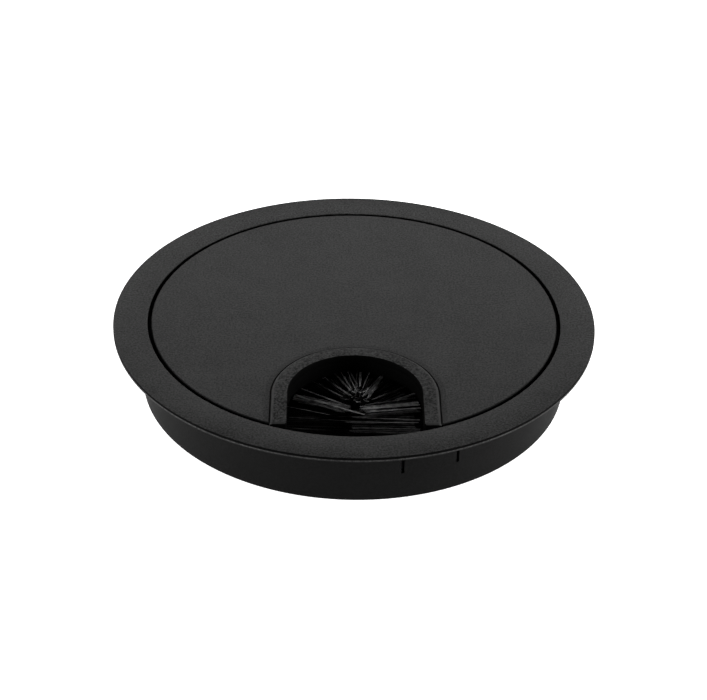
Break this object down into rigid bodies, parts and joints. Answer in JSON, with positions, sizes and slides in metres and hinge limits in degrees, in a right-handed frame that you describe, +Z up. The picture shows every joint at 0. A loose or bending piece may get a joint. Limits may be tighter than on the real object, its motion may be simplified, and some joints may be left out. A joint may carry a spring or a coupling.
{
  "type": "cable grommet",
  "caption": "Round desk cable grommet: a thin flange on a short tube, and a flush turning lid whose U-shaped outlet has a raised trim and a brush.",
  "frame": {"origin": "Centre of the tube's lower end, at the bottom of the part.", "axes": "+Z points up along the tube, out through the lid; -Y points from the centre to the outlet."},
  "size_m": [0.09, 0.09, 0.0133],
  "materials": {
    "collar_black": "Satin black moulded plastic with a faint fine grain.",
    "lid_black": "Satin black moulded plastic with a faint cloudy mottle.",
    "frame_black": "Darker black moulded plastic with a coarser texture than the lid.",
    "channel_black": "Plain black strip.",
    "bristle_black": "Fine black nylon filaments with a slight gloss."
  },
  "bodies": {
    "collar_body": {"collar": "collar_black"},
    "lid_body": {"lid": "lid_black", "brush_frame": "frame_black", "brush_channel": "channel_black", "bristles": "bristle_black"}
  },
  "joints": [
    {"name": "lid_turn", "type": "hinge", "parent": "collar_body", "child": "lid_body", "pos_m": [0, 0, 0.011], "axis": [0, 0, 1], "continuous": true}
  ]
}
